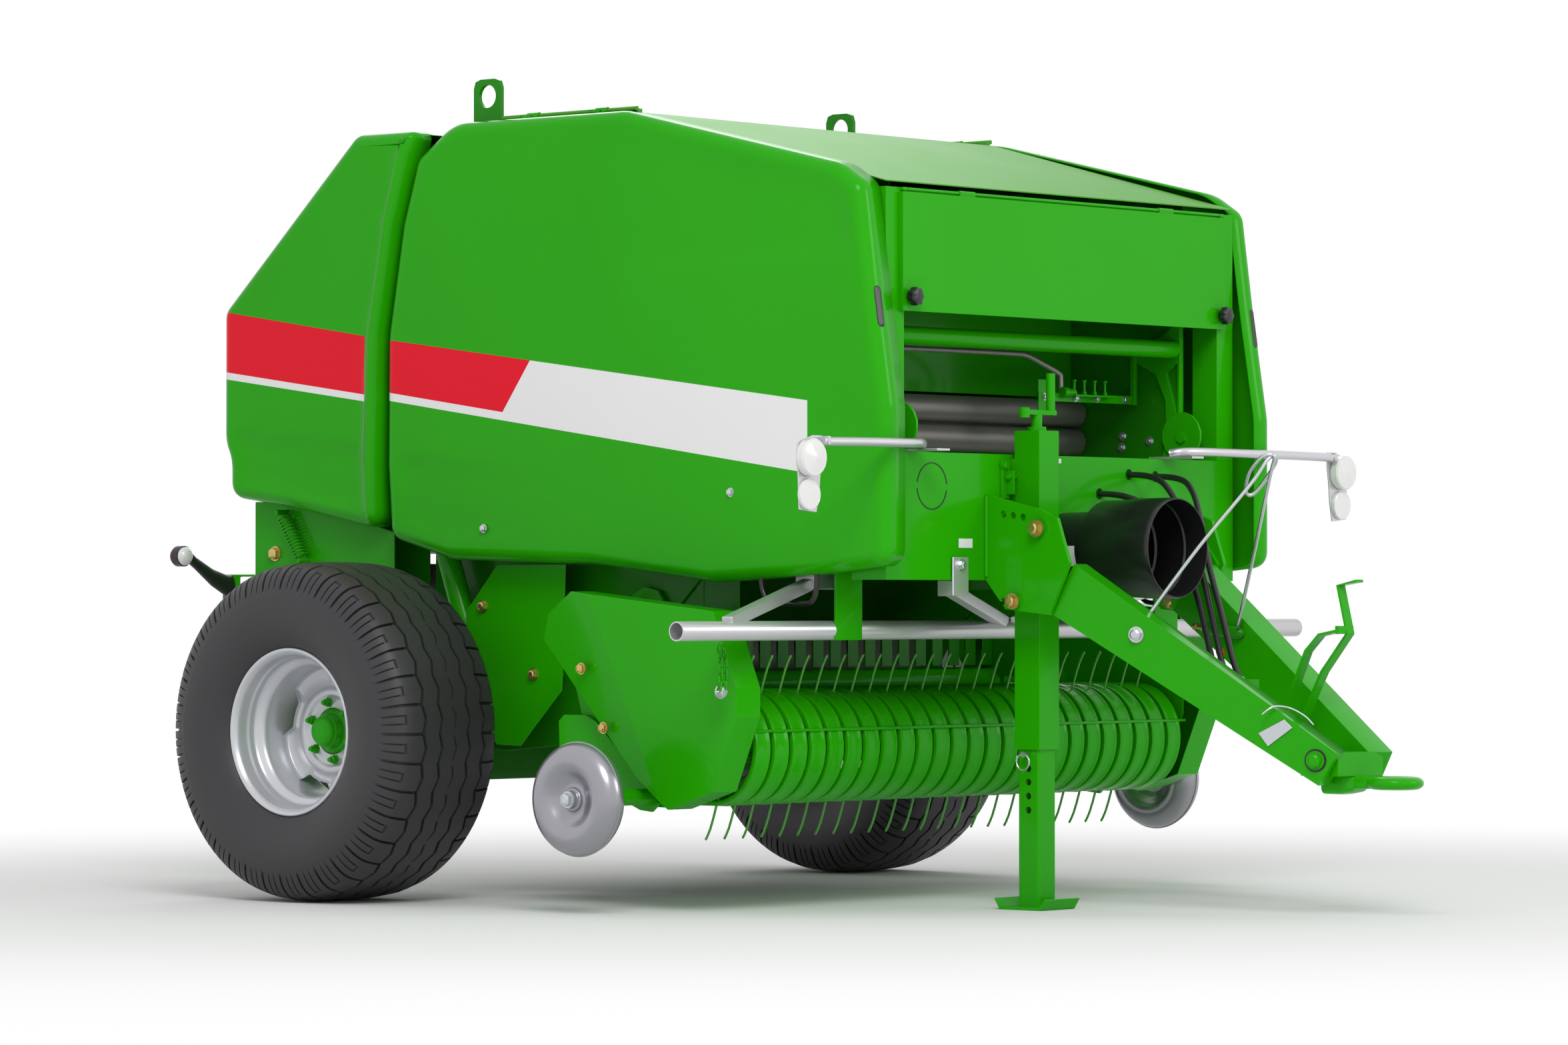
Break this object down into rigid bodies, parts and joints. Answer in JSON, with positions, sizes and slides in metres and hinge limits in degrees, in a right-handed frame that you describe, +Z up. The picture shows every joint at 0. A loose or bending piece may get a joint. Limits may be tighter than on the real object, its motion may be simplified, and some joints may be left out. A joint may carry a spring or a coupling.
{
  "type": "round baler",
  "caption": "Trailed fixed-chamber round baler with pick-up reel, A-frame drawbar, parking jack, hinged tailgate, side shields and hood on two tyres.",
  "frame": {"origin": "on the ground, on the centre plane, halfway along the overall length", "axes": "+Z up, -Y towards the tow ring (front), +Y towards the tailgate, +X to the left side of the machine"},
  "size_m": [2.53, 3.367, 2.132],
  "materials": {
    "body_green": "gloss paint",
    "frame_green": "gloss paint",
    "dark_steel": "bare steel",
    "zinc": "zinc plated",
    "silver_paint": "silver paint",
    "tyre_rubber": "tyre rubber",
    "black_plastic": "moulded plastic",
    "black_paint": "black paint",
    "hose_rubber": "hose rubber",
    "lamp_lens": "clear lens"
  },
  "bodies": {
    "chassis": {"lower_guards": "body_green", "twine_guide": "zinc", "hose_hook": "body_green", "shaft_holder": "zinc", "inlet_comb": "frame_green", "hose_1": "hose_rubber", "hose_2": "hose_rubber", "hose_3": "hose_rubber", "axle": "frame_green", "side_walls": "frame_green", "front_beam": "body_green", "front_frame": "body_green", "gearbox": "frame_green", "roof": "body_green", "top_frame": "frame_green", "front_rollers": "dark_steel", "drawbar_plates": "body_green", "drawbar_arms": "body_green", "tow_ring": "body_green", "jack_tube": "body_green", "pto_guard": "black_plastic", "lamp_arms": "zinc", "lamp_lenses": "lamp_lens", "guard_bar": "zinc"},
    "wheel_right": {"tyre_right": "tyre_rubber", "rim_right": "silver_paint", "hub_right": "body_green"},
    "wheel_left": {"tyre_left": "tyre_rubber", "rim_left": "silver_paint", "hub_left": "body_green"},
    "hood": {"hood": "body_green", "hood_knobs": "black_plastic"},
    "side_shield_right": {"side_shield_right": "body_green"},
    "side_shield_left": {"side_shield_left": "body_green"},
    "tailgate": {"tailgate_plates": "body_green", "tailgate_springs": "body_green", "marker_lamps": "black_plastic", "tailgate_walls": "frame_green", "tailgate_skin": "body_green", "rear_shields": "body_green", "rear_rollers": "dark_steel"},
    "cylinder_barrel_right": {"cylinder_barrel_right": "black_paint"},
    "cylinder_barrel_left": {"cylinder_barrel_left": "black_paint"},
    "cylinder_rod_right": {"cylinder_rod_right": "zinc"},
    "cylinder_rod_left": {"cylinder_rod_left": "zinc"},
    "pickup": {"pickup_frame": "body_green", "pickup_bands": "body_green", "pickup_covers": "body_green", "gauge_arms": "body_green"},
    "tine_reel": {"tine_reel": "frame_green"},
    "gauge_wheel_right": {"gauge_wheel_right": "silver_paint"},
    "gauge_wheel_left": {"gauge_wheel_left": "silver_paint"},
    "jack_leg": {"jack_leg": "body_green"},
    "jack_crank": {"jack_crank": "body_green"},
    "pto_shaft": {"pto_shaft": "dark_steel"},
    "feed_roller_upper": {"feed_roller_upper": "dark_steel"},
    "feed_roller_lower": {"feed_roller_lower": "dark_steel"}
  },
  "joints": [
    {"name": "wheel_right_spin", "type": "hinge", "parent": "chassis", "child": "wheel_right", "pos_m": [-1.045, 0.9785, 0.437], "axis": [1, 0, 0], "continuous": true},
    {"name": "side_shield_right_hinge", "type": "hinge", "parent": "chassis", "child": "side_shield_right", "pos_m": [-0.717, 0.5035, 2.026], "axis": [0, 1, 0], "range_deg": [0, 75]},
    {"name": "cylinder_right_swing", "type": "hinge", "parent": "chassis", "child": "cylinder_barrel_right", "pos_m": [-0.668, 0.8285, 0.6], "axis": [1, 0, 0], "range_deg": [-1.15, 0.2]},
    {"name": "cylinder_right_stroke", "type": "slide", "parent": "cylinder_barrel_right", "child": "cylinder_rod_right", "axis": [0, 0.3425, 0.9395], "range_m": [0, 0.5258]},
    {"name": "gauge_wheel_right_spin", "type": "hinge", "parent": "pickup", "child": "gauge_wheel_right", "pos_m": [-1.172, 0.0005, 0.286], "axis": [1, 0, 0], "continuous": true},
    {"name": "wheel_left_spin", "type": "hinge", "parent": "chassis", "child": "wheel_left", "pos_m": [1.045, 0.9785, 0.437], "axis": [1, 0, 0], "continuous": true},
    {"name": "side_shield_left_hinge", "type": "hinge", "parent": "chassis", "child": "side_shield_left", "pos_m": [0.717, 0.5035, 2.026], "axis": [0, -1, 0], "range_deg": [0, 75]},
    {"name": "cylinder_left_swing", "type": "hinge", "parent": "chassis", "child": "cylinder_barrel_left", "pos_m": [0.668, 0.8285, 0.6], "axis": [1, 0, 0], "range_deg": [-1.15, 0.2]},
    {"name": "cylinder_left_stroke", "type": "slide", "parent": "cylinder_barrel_left", "child": "cylinder_rod_left", "axis": [0, 0.3425, 0.9395], "range_m": [0, 0.5258]},
    {"name": "gauge_wheel_left_spin", "type": "hinge", "parent": "pickup", "child": "gauge_wheel_left", "pos_m": [1.172, 0.0005, 0.286], "axis": [1, 0, 0], "continuous": true},
    {"name": "tailgate_hinge", "type": "hinge", "parent": "chassis", "child": "tailgate", "pos_m": [0, 0.9005, 1.962], "axis": [1, 0, 0], "range_deg": [0, 65]},
    {"name": "hood_hinge", "type": "hinge", "parent": "chassis", "child": "hood", "pos_m": [0, -0.6085, 1.786], "axis": [-1, 0, 0], "range_deg": [0, 80]},
    {"name": "pickup_lift", "type": "hinge", "parent": "chassis", "child": "pickup", "pos_m": [0, 0.2785, 0.76], "axis": [1, 0, 0], "range_deg": [0, 13]},
    {"name": "tine_reel_spin", "type": "hinge", "parent": "pickup", "child": "tine_reel", "pos_m": [0, -0.1715, 0.408], "axis": [1, 0, 0], "continuous": true},
    {"name": "jack_leg_slide", "type": "slide", "parent": "chassis", "child": "jack_leg", "axis": [0, 0, 1], "range_m": [0, 0.2]},
    {"name": "jack_crank_spin", "type": "hinge", "parent": "chassis", "child": "jack_crank", "pos_m": [-0.19, -0.6575, 1.2], "axis": [0, 0, 1], "continuous": true},
    {"name": "pto_shaft_spin", "type": "hinge", "parent": "chassis", "child": "pto_shaft", "pos_m": [0, -0.6718, 0.905], "axis": [0, -1, 0], "continuous": true},
    {"name": "feed_roller_upper_spin", "type": "hinge", "parent": "chassis", "child": "feed_roller_upper", "pos_m": [0, -0.1715, 1.272], "axis": [1, 0, 0], "continuous": true},
    {"name": "feed_roller_lower_spin", "type": "hinge", "parent": "chassis", "child": "feed_roller_lower", "pos_m": [0, -0.1715, 1.196], "axis": [1, 0, 0], "continuous": true}
  ],
  "couplings": [
    {"joint": "cylinder_right_swing", "follows": "tailgate_hinge", "ratio": -0.014642},
    {"joint": "cylinder_right_stroke", "follows": "tailgate_hinge", "m_per_rad": 0.4626},
    {"joint": "cylinder_left_swing", "follows": "tailgate_hinge", "ratio": -0.014642},
    {"joint": "cylinder_left_stroke", "follows": "tailgate_hinge", "m_per_rad": 0.4626},
    {"joint": "feed_roller_lower_spin", "follows": "feed_roller_upper_spin", "ratio": -1}
  ]
}
